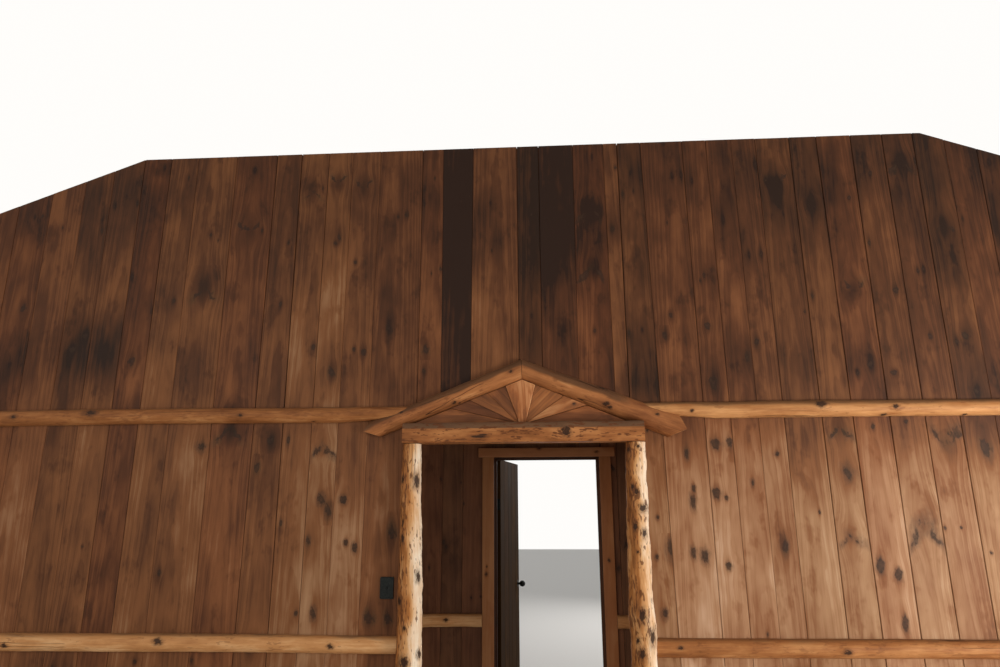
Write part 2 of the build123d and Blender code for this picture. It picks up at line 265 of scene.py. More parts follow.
def plank_material(wood, gloss=0.55, contrast=1.0, shine=0.14, worn=0.2):
    """Stained knotty pine: streaks and cathedral figure that part round each knot."""
    tree = new_tree(wood)
    reach, smear, flow = knots_of(tree, winged=True)
    parted, v, seed = flow
    cloud = grain_noise(flow, 4.5, 1.8, 0.0, 3.0)
    patch = grain_noise(flow, 12, 4.5, 41.0)
    streak = grain_noise(flow, 34, 2.0, 11.0, 3.0, 0.6)
    fibre = grain_noise(flow, 210, 4.0, 23.0)
    grime = grain_noise(flow, 9, 4.5, 29.0, 3.0, 0.65)
    frayed = grain_noise(flow, 110, 42, 59.0, 3.0, 0.65)

    off_heart = parted + (seed * 0.37).calc("FRACT") * 0.16 - 0.08
    bow = off_heart * off_heart
    rings = ((bow * 300 + v * 1.6 + streak * 1.5) * math.tau).calc("SINE")
    latewood = (rings * 0.5 + 0.5).calc("POWER", 3.0)
    tongues = ((bow * 130 + v * 0.45 + patch * 0.9 + seed) * math.tau).calc("SINE")
    figure = cloud * 0.62 + patch * 0.24 + streak * 0.17 + fibre * 0.11 - latewood * 0.05
    figure = figure + tongues.fade(-0.1, 0.3, -0.03, 0.03) + grime.fade(0.06, 0.20, 0.0, -0.10)
    tone = attribute(tree, "tone") + figure * contrast - smear * 0.20 + attribute(tree, "wear") * worn

    tints = [(0.0, (0.98, 1.0, 0.97, 1)), (0.5, (1, 1, 1, 1)), (1.0, (1.05, 0.96, 0.93, 1))]
    hue = (seed * 0.731).calc("FRACT").ramp(tints)
    base = tone.stain(wood).mix(0.9, hue, "MULTIPLY")
    base = with_knots(base, reach, PLANK_KNOT_BROWN, PLANK_KNOT_DARK, 0.5, frayed)
    height = fibre * 0.5 + latewood * 0.12 + reach.fade(0.8, 1.2, 0.5, 0.0)
    finish(tree, base, cloud * 0.25 + gloss, specular=shine, height=height, relief=0.0008)


def log_material(wood, weathering_and_shade_colour, flecks, fleck_start=0.04, mottle=0.9, clumps=0.45):
    """Peeled pine: clouded cream to orange, red-brown dashes of inner bark, drying checks and knots."""
    tree = new_tree(wood)
    reach, smear, flow = knots_of(tree, winged=False)
    cloud = grain_noise(flow, 13, 3.4, 0.0, 4.0, 0.6)
    streak = grain_noise(flow, 80, 5.0, 9.0, 3.0, 0.6)
    dash = grain_noise(flow, 82, 19, 17.0)
    patch = grain_noise(flow, 7, 5.0, 27.0, 1.0)
    split = grain_noise(flow, 13, 0.55, 31.0, 1.0)
    part = grain_noise(flow, 2, 1.6, 37.0, 0.0)

    level = attribute(tree, "tone")
    tone = level + cloud * mottle + streak * 0.5 - smear * 0.12 + reach.fade(1.3, 2.4, 0.03, 0.0)
    # The grey laid over here is weathering, real on the lintel's waney top, and on the upper sides of the
    # rails and raking logs partly painted shade.
    weathering_and_shade = attribute(tree, "weathering_and_shade") + cloud * 0.9 + streak * 0.5
    base = tone.stain(wood).mix(weathering_and_shade.fade(0.35, 0.75, 0.0, 0.85), colour(*weathering_and_shade_colour))
    bark = (dash + patch * clumps - level * 0.16).fade(fleck_start, fleck_start + 0.06, 0.0, flecks)
    crack = (abs(split) + part.fade(0.02, 0.10, 0.03, 0.0)).fade(0.0015, 0.006, 0.85, 0.0)
    base = base.mix(bark, BARK_RED).mix(crack, CHECK_DARK)
    base = with_knots(base, reach, KNOT_BROWN, KNOT_BLACK)
    height = streak * 0.45 - bark * 0.25 - crack * 1.6 + reach.fade(0.4, 1.1, -0.5, 0.0)
    finish(tree, base, cloud * 0.3 + 0.5, specular=0.1, height=height, relief=0.0014)


def place_in_object(tree):
    return Value(tree, "TexCoord", output="Object").parts()


def end_grain_material():
    """Sawn ends: growth rings round the pith."""
    tree = new_tree("sawn_end")
    from_pith = zip(place_in_object(tree), attribute(tree, "pith", "Vector").parts())
    x, y, z = [place - pith for place, pith in from_pith]
    blur = noise_at(x * 60, y * 60, z * 60, 3.0)
    rings = (x.hypot(y).hypot(z) * 1500 + blur * 5).calc("SINE")
    shade = rings * 0.22 + 0.5 + blur * 0.5
    base = shade.ramp([(0.1, colour(128, 84, 50)), (0.9, colour(190, 148, 104))])
    finish(tree, base, 0.7, height=rings + blur, relief=0.0006)


def iron_material():
    """Blackened iron, hammered and rubbed."""
    tree = new_tree("iron")
    x, y, z = place_in_object(tree)
    coarse, fine = [noise_at(x * size, y * size, z * size) for size in (160, 900)]
    base = (coarse * 1.4 + 0.5).ramp([(0.2, colour(16, 18, 18)), (0.85, colour(44, 46, 43))])
    finish(tree, base, coarse * 0.3 + 0.42, 0.5, 0.85, coarse + fine * 0.3, 0.0006)


plank_material("wall_planks", shine=0.1)
plank_material("hall_planks")
plank_material("door_planks", gloss=0.8, contrast=0.7, shine=0.03)
plank_material("trim_boards", contrast=0.6, worn=0.05)
plank_material("sunburst_boards", contrast=1.6, worn=0.12)
log_material("post_log", (98, 72, 52), 0.8, fleck_start=-0.01, mottle=1.2, clumps=0.35)
log_material("lintel_log", (92, 68, 50), 0.9, fleck_start=-0.005, mottle=1.3, clumps=0.3)
log_material("raking_log", (90, 61, 40), 0.45)
log_material("rail_log", (108, 73, 46), 0.35)
end_grain_material()
iron_material()


# Mesh building

FAR_KNOT = (-90.0, -90.0, 0.01, 1.0)


def write(mesh, name, domain, values):
    """Stores a number or a vector for each point or face of a mesh."""
    values = np.array(values, dtype=np.float32)
    kind, field = ("FLOAT_VECTOR", "vector") if values.ndim > 1 else ("FLOAT", "value")
    mesh.attributes.new(name, kind, domain).data.foreach_set(field, values.ravel())


def write_figure(mesh, grain, tone, pairs):
    """Stores what the woods read. A pair is a face's two knots: place across and along the grain,
    half width, stretch and, with wings, slant."""
    write(mesh, "grain", "POINT", grain)
    write(mesh, "tone", "POINT", tone)
    for number, word in enumerate("ab"):
        knots = [pair[number] for pair in pairs]
        write(mesh, f"knot_{word}", "FACE", [knot[:3] for knot in knots])
        write(mesh, f"stretch_{word}", "FACE", [knot[3] for knot in knots])
        write(mesh, f"slant_{word}", "FACE", [sum(knot[4:]) for knot in knots])


def two_of(knots):
    """The two knots of a face, filled up with one too far off to show."""
    return [*knots, FAR_KNOT, FAR_KNOT][:2]


def new_object(name, data):
    made = bpy.data.objects.new(name, data)
    bpy.context.scene.collection.objects.link(made)
    return made


def saw(work, point, normal):
    """Takes off what lies beyond a plane and closes the cut."""
    geometry = [*work.verts, *work.edges, *work.faces]
    bmesh.ops.bisect_plane(work, geom=geometry, plane_co=point, plane_no=normal, clear_outer=True, dist=1e-5)
    rim = [edge for edge in work.edges if edge.is_boundary]
    pith = work.faces.layers.float_vector["pith"]
    for face in bmesh.ops.holes_fill(work, edges=rim, sides=0)["faces"]:
        face.material_index = 1
        face[pith] = face.calc_center_median()


def settle(mesh, node, body="partition", planes=()):
    """Saws the ends, turns the normals out, smooths, and makes the object that stands for the node."""
    work = bmesh.new()
    work.from_mesh(mesh)
    for point, normal in planes:
        saw(work, point, normal)
    bmesh.ops.recalc_face_normals(work, faces=work.faces)
    for face in work.faces:
        face.smooth = True
    work.to_mesh(mesh)
    work.free()
    mesh.set_sharp_from_angle(angle=SHARP_ANGLE)
    piece = new_object(mesh.name, mesh)
    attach(piece, body)
    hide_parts(node)


class Piece:
    """Gathers the faces of one piece, with the attributes that the materials read."""

    def __init__(self):
        self.points, self.grain, self.tone, self.weathering_and_shade = [], [], [], []
        self.faces, self.knots, self.pith = [], [], []

    def add(self, points, grain, ring, tone, knots, piths, weathering_and_shade=0.0):
        """A tube of rings of points, with two knots for each side face, and its two sawn ends."""
        start = len(self.points)
        last = start + len(points) - ring
        self.points.extend(map(tuple, points))
        self.grain.extend(map(tuple, grain))
        self.tone.extend(tone)
        self.weathering_and_shade.extend(np.broadcast_to(weathering_and_shade, len(points)))
        for below in range(start, last, ring):
            for column in range(ring):
                onward = below + (column + 1) % ring
                self.faces.append((below + column, onward, onward + ring, below + ring + column))
        self.faces += [range(start, start + ring), range(last, last + ring)]
        self.knots += [*knots, (FAR_KNOT, FAR_KNOT), (FAR_KNOT, FAR_KNOT)]
        self.pith += [None] * len(knots) + piths

    def mesh(self, name, surface, end=None):
        """The gathered faces, with their surface and, if it differs, that of the sawn ends."""
        mesh = bpy.data.meshes.new(name)
        mesh.from_pydata(self.points, [], self.faces)
        write_figure(mesh, self.grain, self.tone, self.knots)
        write(mesh, "weathering_and_shade", "POINT", self.weathering_and_shade)
        write(mesh, "pith", "FACE", [(0, 0, 0) if pith is None else pith for pith in self.pith])
        mesh.materials.append(MATERIALS[surface])
        mesh.materials.append(MATERIALS[end or surface])
        mesh.polygons.foreach_set("material_index", [int(pith is not None) for pith in self.pith])
        return mesh


def wander(points, size, seed):
    """Smooth noise at each point, with features of about this size."""
    shift = Vector((seed * 7.31, seed * 3.17, seed * 5.71))
    return np.array([noise.fractal(Vector(point) / size + shift, 1.0, 2.0, 2) for point in points])


# Boards

BOARD_CHAMFER = 0.0025
BOARD_ROW = 0.22
BOARD_RECESS = 0.0044
BOARD_WAVE = 0.0008
BOARD_ACROSS = (0.25, 0.5, 0.75)
JOINT_WANDER = 0.0011
HIGH_SIDE_SHIFT = 40
WHORL_GAP = 0.13
FIRST_WHORL = (0.05, 0.6)
WHORL_SPACING = (0.35, 1.0)
WHORL_SCATTER = (-0.03, 0.03)
WHORL_END_CLEAR = 0.06
SEEN_KNOT_CLEAR = 0.25
KNOT_SIZES = (0.005, 0.015)
KNOT_STRETCHES = (1.0, 1.9)
WINGED_SHARE = 0.15
WING_SLANTS = (-0.9, 0.8, 1.1)
PITH_DEPTH = 0.12
LAST_SEED = 60


def whorls_of(knots):
    """Groups knots that lie close together along a board, two at most to a group."""
    groups = []
    for knot in sorted(knots, key=lambda found: found[1]):
        if groups and len(groups[-1]) < 2 and knot[1] - groups[-1][-1][1] < WHORL_GAP:
            groups[-1].append(knot)
        else:
            groups.append([knot])
    return groups


def side_places(foot, head, heights, seed, uneven):
    """Where one side of a board lies at each height, a little off true."""
    drift = np.array([noise.noise((seed, height * 1.7, 0)) for height in heights])
    return foot + (head - foot) * heights / heights[-1] + uneven * JOINT_WANDER * drift


def board_section(width, depth, face_depth):
    """A board's outline, as the part of its width and the depth behind its face."""
    chamfer = BOARD_CHAMFER / width
    eased = face_depth + BOARD_CHAMFER
    face = [(part, face_depth) for part in (chamfer, *BOARD_ACROSS, 1 - chamfer)]
    return [(0, depth), (0, eased), *face, (1, eased), (1, depth)]


def add_board(piece, sides, length, depth, axes, seed, tone, knots=(), rise=None, row=BOARD_ROW, uneven=1.0):
    """One board. sides is its low and high side, at the foot and then at the head, depth runs back
    from its face, and axes are the origin and the directions across, along and into it. tone is a
    number or gives one for a place across and along, rise gives the length under a slanting head,
    and uneven scales how far the board is off true."""
    origin, across, along, inward = [np.array(part, dtype=float) for part in axes]
    foot_low, foot_high, head_low, head_high = sides
    middle = (foot_low + foot_high) / 2
    groups = whorls_of(knots)
    between = [(low[-1][1] + high[0][1]) / 2 for low, high in zip(groups, groups[1:])]
    heights = np.unique([*np.linspace(0, length, max(3, int(length / row) + 1)), *between])
    low_side = side_places(foot_low, head_low, heights, seed, uneven)
    high_side = side_places(foot_high, head_high, heights, seed + HIGH_SIDE_SHIFT, uneven)
    recess = BOARD_RECESS * abs(noise.noise((seed * 3.3, 0.5, 0.5)))
    section = board_section(foot_high - foot_low, depth, TINY + uneven * recess)
    points, grain, tones, owners = [], [], [], []
    for low, high, height in zip(low_side, high_side, heights):
        for part, inside in section:
            u = low + (high - low) * part
            v = height * rise(u) / length if rise else height
            if inside < depth:
                inside += uneven * BOARD_WAVE * (1 + noise.noise((u * 9, v * 1.4, seed)))
            points.append(origin + across * u + along * v + inward * inside)
            grain.append((u - middle, v, seed))
            tones.append(tone(u, v) if callable(tone) else tone)
    ring = len(section)
    for low, high in zip(heights, heights[1:]):
        owner = sum((low + high) / 2 > limit for limit in between)
        found = [(knot[0] - middle, *knot[1:]) for knot in groups[owner]] if groups else []
        owners += [two_of(found)] * ring
    pith = origin + across * middle + inward * (depth + PITH_DEPTH)
    piece.add(points, grain, ring, tones, owners, [pith, pith + along * length])


def random_knots(low, high, top, draw, seen=()):
    """Knots where none was seen: one or two at each whorl, and a few with wings."""
    knots = []
    height = draw.uniform(*FIRST_WHORL)
    while height < top - WHORL_END_CLEAR:
        if all(abs(height - knot[1]) > SEEN_KNOT_CLEAR for knot in seen):
            for _ in range(draw.choice((1, 1, 2))):
                size = draw.uniform(*KNOT_SIZES)
                x = draw.uniform(low + size, high - size)
                place = height + draw.uniform(*WHORL_SCATTER)
                knots.append((x, place, size, draw.uniform(*KNOT_STRETCHES), 0.0))
            if draw.random() < WINGED_SHARE:
                knots[-1] = ((low + high) / 2, knots[-1][1], (high - low) / 6, 1.0, draw.choice(WING_SLANTS))
        height += draw.uniform(*WHORL_SPACING)
    return knots


def in_metres(knots):
    """Turns the places and half widths of knots from millimetres into metres."""
    return [(across / 1000, up / 1000, size / 1000, *shape) for across, up, size, *shape in knots]


# The front partition, measured from the middle of the doorway: its joints at the foot and at the
# head, the tone of each board, and the knots that stand out

JOINTS = [
    (-3.78, -3.79), (-3.54, -3.54), (-3.30, -3.29), (-3.07, -3.08), (-2.85, -2.85), (-2.65, -2.64),
    (-2.42, -2.43), (-2.12, -2.13), (-1.84, -1.82), (-1.62, -1.63), (-1.43, -1.42), (-1.25, -1.24),
    (-1.05, -1.03), (-0.74, -0.74), (-0.55, -0.56), (-0.35, -0.34), (-0.02, -0.02), (0.14, 0.14),
    (0.38, 0.39), (0.62, 0.61), (0.95, 0.88), (1.20, 1.18), (1.37, 1.35), (1.54, 1.53), (1.70, 1.70),
    (1.94, 1.94), (2.14, 2.13), (2.36, 2.37), (2.58, 2.59), (2.80, 2.80), (3.02, 3.01), (3.21, 3.22),
    (3.44, 3.44), (3.66, 3.65), (3.83, 3.84),
]
# The boards right of the doorway are set paler than those on the left: partly their own tone, partly painted
# light from the right.
BOARD_TONES = [
    0.40, 0.38, 0.46, 0.38, 0.42, 0.34, 0.44, 0.46, 0.42, 0.40, 0.52, 0.56, 0.52, 0.44, 0.44, 0.15,
    0.50, 0.28, 0.22, 0.46, 0.66, 0.72, 0.72, 0.66, 0.66, 0.70, 0.68, 0.70, 0.72, 0.64, 0.68, 0.60,
    0.58, 0.52, 0.52, 0.54,
]

# Knots: place across, height and half width in millimetres, how much longer than wide, and the
# slant of their wings
SEEN_KNOTS = in_metres([
    (-1340, 2030, 31, 1.0, 0.9), (-1990, 2160, 38, 1.0, 0.9), (2040, 2120, 31, 1.0, 0.9),
    (2690, 2010, 36, 1.2, -0.9), (2480, 1520, 42, 1.3, 0.9), (2030, 1450, 36, 1.0, 0.7),
    (1060, 1960, 11, 2.2), (1250, 2020, 20, 1.2), (1340, 2030, 13, 1.6), (1080, 1660, 13, 2.4),
    (1090, 1740, 9, 1.8), (1230, 1710, 17, 1.4), (1290, 1680, 8, 1.3), (1630, 1950, 9, 1.2),
    (1460, 1770, 8, 2.0), (920, 1370, 17, 2.2), (1060, 1350, 12, 2.0), (1130, 1330, 17, 1.6),
    (1270, 1270, 12, 1.4), (1620, 1380, 14, 2.0), (2060, 1830, 24, 1.4), (2180, 1270, 16, 1.8),
    (2280, 940, 12, 2.4), (860, 990, 13, 1.5), (850, 1560, 7, 1.3), (830, 1320, 8, 1.4),
    (2280, 1220, 15, 1.5), (-1700, 2070, 18, 1.2), (-2180, 2030, 20, 1.0), (-1580, 2070, 9, 2.2),
    (-1330, 1680, 18, 1.3), (-1280, 1610, 15, 1.9), (-1180, 1680, 16, 1.1), (-1400, 1420, 10, 1.7),
    (-1150, 1410, 10, 1.3), (-1090, 1380, 12, 1.6), (-850, 1480, 20, 1.8), (-1340, 980, 13, 1.9),
    (-1450, 980, 10, 1.1), (-980, 960, 24, 1.2), (-860, 960, 18, 1.6), (-1590, 1530, 8, 2.0),
    (-1780, 1890, 14, 1.8), (-1450, 2710, 13, 1.4), (-1310, 2530, 18, 1.4), (-1090, 2670, 13, 1.3),
    (-1160, 2690, 8, 1.4), (-920, 2840, 17, 2.0), (-660, 2680, 16, 1.6), (-670, 2530, 9, 1.4),
    (1020, 2890, 10, 1.3), (970, 2750, 13, 1.6), (1260, 2810, 14, 1.3), (1270, 2420, 20, 1.7),
    (1500, 2590, 16, 2.0), (1570, 2690, 12, 1.5), (730, 2770, 9, 1.3), (820, 2790, 6, 1.2),
    (500, 2790, 8, 1.4), (2290, 2530, 15, 1.3), (2200, 2470, 8, 1.4), (2430, 2470, 13, 0.7),
    (2920, 2710, 16, 1.1), (2860, 2670, 10, 1.3), (2930, 2340, 15, 1.2), (2250, 2120, 8, 1.3),
    (2460, 2150, 8, 0.9), (2920, 1980, 20, 2.0), (-3200, 2720, 20, 1.3), (-3120, 2820, 16, 1.3),
    (-2750, 2630, 18, 1.3), (-3620, 3040, 18, 1.3),
])
SEEN_REACH = (0.85, 2.95)
KNOT_SPREAD = 1.3
PIN_KNOT = 0.0075

# Clouded patches, partly stains in the boards and partly painted shadow, in hundredths: middle, half width,
# half height, and the change of tone there
PATCHES_OF_STAIN_AND_SHADOW = [[number / 100 for number in patch] for patch in (
    (-66, 243, 10, 14, -12), (76, 262, 14, 30, -8), (0, 350, 110, 50, -14), (90, 270, 45, 40, -5),
    (240, 260, 120, 35, -4), (127, 245, 9, 13, -16), (84, 242, 22, 14, -13), (-86, 239, 12, 10, -16),
    (-354, 269, 22, 22, -20), (-318, 276, 16, 24, -22), (-295, 270, 12, 20, -20),
    (-273, 250, 9, 15, 20), (-151, 258, 10, 24, 14), (-170, 207, 9, 9, -14), (-209, 207, 6, 7, -12),
    (-192, 213, 7, 6, -14), (-174, 181, 9, 28, -10), (-87, 142, 5, 11, -10), (162, 140, 7, 14, -14),
    (290, 342, 11, 26, -12), (298, 231, 10, 32, -10), (212, 248, 6, 10, -10), (-153, 133, 6, 10, -8),
    (-140, 120, 16, 30, 8), (-115, 125, 12, 30, 8), (105, 125, 30, 30, 8), (-90, 98, 14, 16, -12),
    (-225, 255, 15, 30, -10), (235, 155, 20, 40, 6), (-102, 272, 30, 30, -10),
)]
SEEN_ROW = 0.08
PLANK_DEPTH = 0.022
JOINT_GAP = 0.0032
GAP_CHOICES = (0.1, 0.4, 1.0, 1.5)
BACK_JOINT_SHIFT = (0.07, 0.06)
BACK_FIRST_BOARD = 3
FRONT_WALL_SEED = 5
STUD_WIDTH = 0.045
STUD_SPACING = 0.6
STUD_CLEAR = 0.2
CORE_TONE = 0.3


def upright_axes(face, back, foot):
    """Axes of upright boards with their faces at one depth and their backs at another."""
    return (0, face, foot), RIGHT, UP, (0, 1 if back > face else -1, 0)


def smooth_step(value, low, high):
    share = min(max((value - low) / (high - low), 0.0), 1.0)
    return share * share * (3 - 2 * share)


def front_stains_and_painted_shade(x, z):
    """The change of tone from place to place: painted shade that darkens with height, most on the right, and
    clouded patches, partly stains and partly painted shadow.
    """
    # Painted shade: darker with height, and on the right a painted shadow from about 1.5 m up, round and
    # above the upper rail.
    shade = -0.06 * smooth_step(z, 1.9, 2.6) - 0.12 * smooth_step(z, 2.9, 3.9)
    shade -= 0.31 * smooth_step(z, 1.45, 2.4) * smooth_step(x, 0.3, 1.1)
    for patch_x, patch_z, width, height, amount in PATCHES_OF_STAIN_AND_SHADOW:
        off = ((x - patch_x) / width) ** 2 + ((z - patch_z) / height) ** 2
        shade += amount * math.exp(-off) if off < 9 else 0.0
    return shade


def kept_knot(knot, foot):
    """Within the height that was seen, only the seen knots and pin knots stay."""
    height = knot[1] + foot
    hidden = not SEEN_REACH[0] < height < SEEN_REACH[1]
    return hidden or knot[2] < PIN_KNOT or any(abs(height - seen[1]) < TINY for seen in SEEN_KNOTS)


def seen_on(left, right, foot, reach):
    """The seen knots that lie on one board, with heights from its foot."""
    return [
        (x, height - foot, size * KNOT_SPREAD, *shape)
        for x, height, size, *shape in SEEN_KNOTS
        if left < x < right and foot < height < foot + reach
    ]


def add_skin(piece, extent, faces, joints, tones, draw, seen, first):
    """Upright boards side by side, on one face of a partition."""
    low, high, foot, rise = extent
    axes = upright_axes(*faces, foot)
    low, high = low + JOINT_WANDER, high - JOINT_WANDER
    inside = [pair for pair in joints if low + 0.05 < min(pair) and max(pair) < high - 0.05]
    marks = [(low, low), *inside, (high, high)]
    for number, (left, right) in enumerate(zip(marks, marks[1:]), first):
        gap = JOINT_GAP * draw.choice(GAP_CHOICES)
        sides = (left[0] + gap / 2, right[0] - gap / 2, left[1] + gap / 2, right[1] - gap / 2)
        reach = max(rise(left[1]), rise(right[1]))
        knots = seen_on(left[0], right[0], foot, reach) if seen else []
        knots += random_knots(*sides[:2], reach, draw, knots)
        tone = level = tones[number % len(tones)] + draw.uniform(-0.03, 0.03)
        if seen:
            knots = [knot for knot in knots if kept_knot(knot, foot)]
            tone = lambda x, v: level + front_stains_and_painted_shade(x, v + foot)
        row = SEEN_ROW if seen else BOARD_ROW
        add_board(piece, sides, reach, PLANK_DEPTH, axes, draw.uniform(0, LAST_SEED), tone, knots, rise, row)


def add_core(piece, extent, front, back, seed):
    """The framing between the two skins of a partition, as one dark panel of upright lumber."""
    low, high, foot, rise = extent
    axes = upright_axes(front, back, foot)
    spaced = np.linspace(low, high, max(2, int((high - low) / STUD_SPACING) + 1))
    studs = [mark for mark in spaced if low + STUD_CLEAR < mark < high - STUD_CLEAR]
    marks = sorted({low, low + STUD_WIDTH, *studs, high - STUD_WIDTH, high})
    for left, right in zip(marks, marks[1:]):
        reach = max(rise(left), rise(right))
        sides = (left, right) * 2
        add_board(piece, sides, reach, back - front, axes, seed + left, CORE_TONE, (), rise, uneven=0)


def partition(node, tops, joints, tones, surface, seed, seen=False):
    """A plank partition in place of its node: a skin of boards on each face and framing between.
    tops are its heights where the level top ends and at the far ends of the wall."""
    (left, front, foot), (right, back, _) = span(node)

    def rise(x):
        return float(np.interp(abs(x), [LEVEL_END, WALL_END], tops)) - foot

    draw = random.Random(seed)
    extent = (left, right, foot, rise)
    piece = Piece()
    first = sum(pair[0] < left + 0.05 for pair in JOINTS)
    add_skin(piece, extent, (front, back), joints, tones, draw, seen, first)
    foot_shift, head_shift = BACK_JOINT_SHIFT
    shifted = [(at_foot + foot_shift, at_head + head_shift) for at_foot, at_head in joints]
    add_skin(piece, extent, (back, front), shifted, tones, draw, False, BACK_FIRST_BOARD)
    add_core(piece, extent, front + PLANK_DEPTH, back - PLANK_DEPTH, seed * 1.7)
    settle(piece.mesh(f"{node}_boards", surface), node)


def build_front_partition():
    for seed, word in enumerate(("left", "over_door", "right"), FRONT_WALL_SEED):
        partition(f"wall_{word}", (WALL_TOP, LOW_TOP), JOINTS, BOARD_TONES, "wall_planks", seed, seen=True)


# The hall behind: its second partition, ceiling boards and joists

HALL_TONES = [0.62, 0.54, 0.64, 0.57, 0.52, 0.60]
HALL_BOARD = 0.19
HALL_JOINT_SEED = 31
INNER_WALL_SEED = 40
CEILING_SEED = 53


def even_joints(low, high, draw):
    """Joints about one board width apart."""
    places = []
    place = low + HALL_BOARD * draw.uniform(0.6, 1.0)
    while place < high - HALL_BOARD * 0.4:
        places.append((place, place + draw.uniform(-0.004, 0.004)))
        place += HALL_BOARD * draw.uniform(0.8, 1.2)
    return places


def build_inner_partition():
    draw = random.Random(HALL_JOINT_SEED)
    for seed, word in enumerate(("left", "right", "over_door"), INNER_WALL_SEED):
        node = f"inner_wall_{word}"
        (left, _, _), (right, _, top) = span(node)
        partition(node, (top, top), even_joints(left, right, draw), HALL_TONES, "hall_planks", seed)


def build_ceiling():
    """Boards from side to side, seen from below."""
    low, high = span("hall_ceiling")
    draw = random.Random(CEILING_SEED)
    piece = Piece()
    length, depth, thickness = high - low
    width = depth / len(HALL_TONES)
    for number, tone in enumerate(HALL_TONES):
        near = number * width + JOINT_GAP / 2
        far = (number + 1) * width - JOINT_GAP / 2
        knots = random_knots(near, far, length, draw)
        seed = draw.uniform(0, LAST_SEED)
        add_board(piece, (near, far) * 2, length, thickness, (low, (0, 1, 0), RIGHT, UP), seed, tone, knots)
    settle(piece.mesh("hall_ceiling_boards", "hall_planks"), "hall_ceiling")


# Boards whose shape the frame already holds, with softened edges and their own grain

CORNER_TURN = 0.5
KNOT_RANGE_ACROSS = (0.3, 0.7)
KNOT_RANGE_ALONG = (0.2, 0.8)
SMALL_KNOT_SIZES = (0.005, 0.010)
SMALL_KNOT_STRETCHES = (1.0, 1.6)


def eased_copy(node, soften):
    """A copy of a node's mesh with its corners rounded, and worn where they are."""
    mesh = frame["nodes"][node].data.copy()
    mesh.name = f"{node}_board"
    mesh.materials.clear()
    work = bmesh.new()
    work.from_mesh(mesh)
    wear = work.faces.layers.float.new("wear")
    bmesh.ops.remove_doubles(work, verts=work.verts, dist=1e-5)
    bmesh.ops.dissolve_limit(work, angle_limit=math.radians(1), verts=work.verts, edges=work.edges)
    corners = [edge for edge in work.edges if edge.calc_face_angle(0) > CORNER_TURN]
    eased = bmesh.ops.bevel(
        work, geom=corners, offset=soften, segments=2, affect="EDGES", clamp_overlap=True, profile=0.6
    )
    for face in eased["faces"]:
        face[wear] = 1.0
    work.to_mesh(mesh)
    work.free()
    return mesh


def flat_board(node, surface, along, seed, tone, soften, knots, body="partition"):
    """A board in the shape of its node, its edges eased and worn and its grain along a direction."""
    mesh = eased_copy(node, soften)
    along = Vector(along).normalized()
    out = Vector((0, -1, 0)) if abs(along.y) < 0.5 else Vector((0, 0, 1))
    across = along.cross(out).normalized()
    points = [vertex.co.copy() for vertex in mesh.vertices]
    middle = sum(points, Vector()) / len(points)
    offsets = [point - middle for point in points]
    grain = np.array([(off.dot(across) + off.dot(out), off.dot(along), seed) for off in offsets])
    draw = random.Random(seed)
    chosen = []
    for _ in range(knots):
        u = draw.uniform(*np.quantile(grain[:, 0], KNOT_RANGE_ACROSS))
        v = draw.uniform(*np.quantile(grain[:, 1], KNOT_RANGE_ALONG))
        chosen.append((u, v, draw.uniform(*SMALL_KNOT_SIZES), draw.uniform(*SMALL_KNOT_STRETCHES)))
    write_figure(mesh, grain, [tone] * len(points), [two_of(chosen)] * len(mesh.polygons))
    mesh.materials.append(MATERIALS[surface])
    settle(mesh, node, body)


SUNBURST_TONES = {
    "corner_right": 0.36, "right_2": 0.72, "right_1": 0.46, "center": 0.72, "left_1": 0.40,
    "left_2": 0.48, "left_3": 0.34, "corner_left": 0.40,
}
SUNBURST_KNOTS = ("right_2", "corner_left")
SUNBURST_SOFTEN = 0.006


def build_sunburst():
    """Each ray's grain runs out from the middle of the lintel, and each corner board's is level."""
    foot = Vector((0, WALL_FRONT, span("door_lintel")[1][2]))
    for number, (word, tone) in enumerate(SUNBURST_TONES.items()):
        node = f"sunburst_{word}"
        away = Vector(node_points(node).mean(axis=0)) - foot
        along = RIGHT if word.startswith("corner") else (away.x, 0, away.z)
        knots = int(word in SUNBURST_KNOTS)
        flat_board(node, "sunburst_boards", along, 3.7 + 2.3 * number, tone, SUNBURST_SOFTEN, knots)


# Painted shade: the jambs are set near black, for the shade in the reveal of the inner doorway.
TRIM_TONES = {
    "inner_casing_left": 0.80, "inner_casing_right": 0.70, "inner_casing_head": 0.78,
    "inner_jamb_left": 0.02, "inner_jamb_right": 0.10, "inner_jamb_head": 0.04,
}
JOIST_TONE = 0.55


def build_trim():
    """Jambs and casings round the inner door, and the joists over the hall."""
    for number, (node, tone) in enumerate(TRIM_TONES.items()):
        along = RIGHT if node.endswith("head") else UP
        soften = 0.001 if "jamb" in node else 0.003
        flat_board(node, "trim_boards", along, 11.0 + 3.1 * number, tone, soften, 2)
    for number, word in enumerate(("left", "middle", "right")):
        seed = 31.0 + 5.3 * number
        flat_board(f"hall_joist_{word}", "hall_planks", (0, 1, 0), seed, JOIST_TONE, 0.003, 2)


# Logs. A line is a log's origin on the wall, its direction and the direction across it

LOG_ROW = 0.0075
RAIL_ROW = 0.010
KNOT_SWELL = 0.42
HIDDEN_WRAP = 0.42
LUMP_SIZE = 0.16
FINE_LUMP_SIZE = 0.035
LOG_LUMPS = 0.0022


def section_of(node, line, distance):
    """Lowest and highest place across, and the furthest out, where a plane square to the line cuts
    a node."""
    origin, along, sideways = line
    points = node_points(node) - origin
    height = points @ along - distance
    crossings = []
    for edge in frame["nodes"][node].data.edges:
        a, b = edge.vertices
        if (height[a] < 0) != (height[b] < 0):
            part = height[a] / (height[a] - height[b])
            crossings.append(points[a] + (points[b] - points[a]) * part)
    across = np.array(crossings) @ sideways
    return across.min(), across.max(), -np.array(crossings)[:, 1].min()


